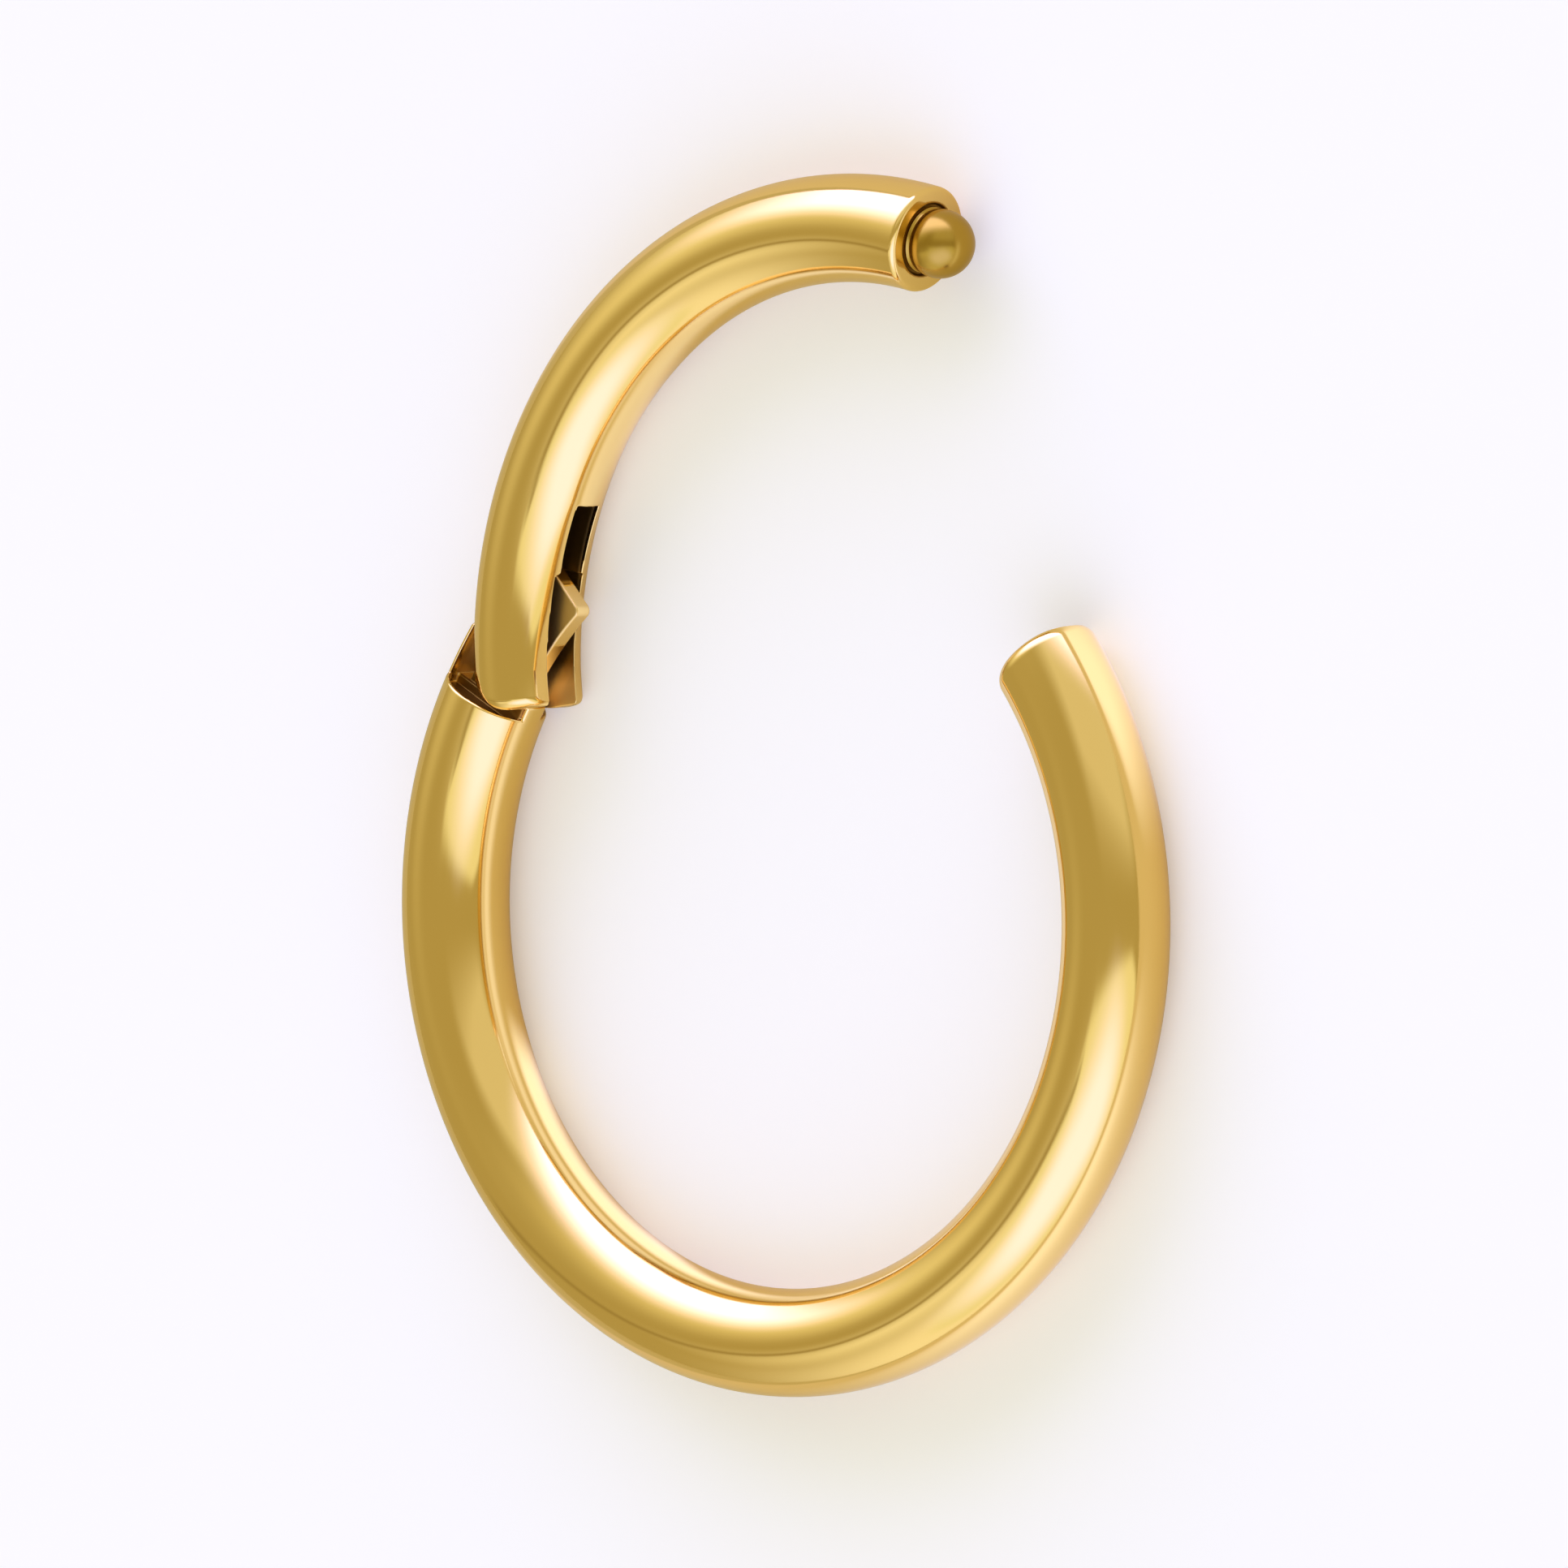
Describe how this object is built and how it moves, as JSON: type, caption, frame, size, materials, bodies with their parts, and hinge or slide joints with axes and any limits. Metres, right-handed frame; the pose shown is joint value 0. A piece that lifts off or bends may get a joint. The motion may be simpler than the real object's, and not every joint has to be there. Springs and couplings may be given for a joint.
{
  "type": "hinged segment ring",
  "caption": "Round wire ring lying on its side, its upper segment swung open on a pinned tongue hinge, with a round-headed closing peg at the segment's tip.",
  "frame": {"origin": "the ring's centre, on the plane that the ring lies on", "axes": "+Z along the ring's axis, up from the plane it lies on; +Y to the top of the worn ring, where the hinged segment is; +X to the side of the segment's closing end"},
  "size_m": [0.0142, 0.018, 0.0016],
  "materials": {
    "gold_coated_steel": "mirror polished, yellow gold-coloured coating"
  },
  "bodies": {
    "main_arc": {"main_arc": "gold_coated_steel"},
    "segment": {"hinged_segment": "gold_coated_steel", "hinge_pin": "gold_coated_steel", "closing_peg": "gold_coated_steel"}
  },
  "joints": [
    {"name": "segment_hinge", "type": "hinge", "parent": "main_arc", "child": "segment", "pos_m": [-0.00482, 0.00393, 0.0008], "axis": [0, 0, 1], "range_deg": [-38, 4]}
  ]
}
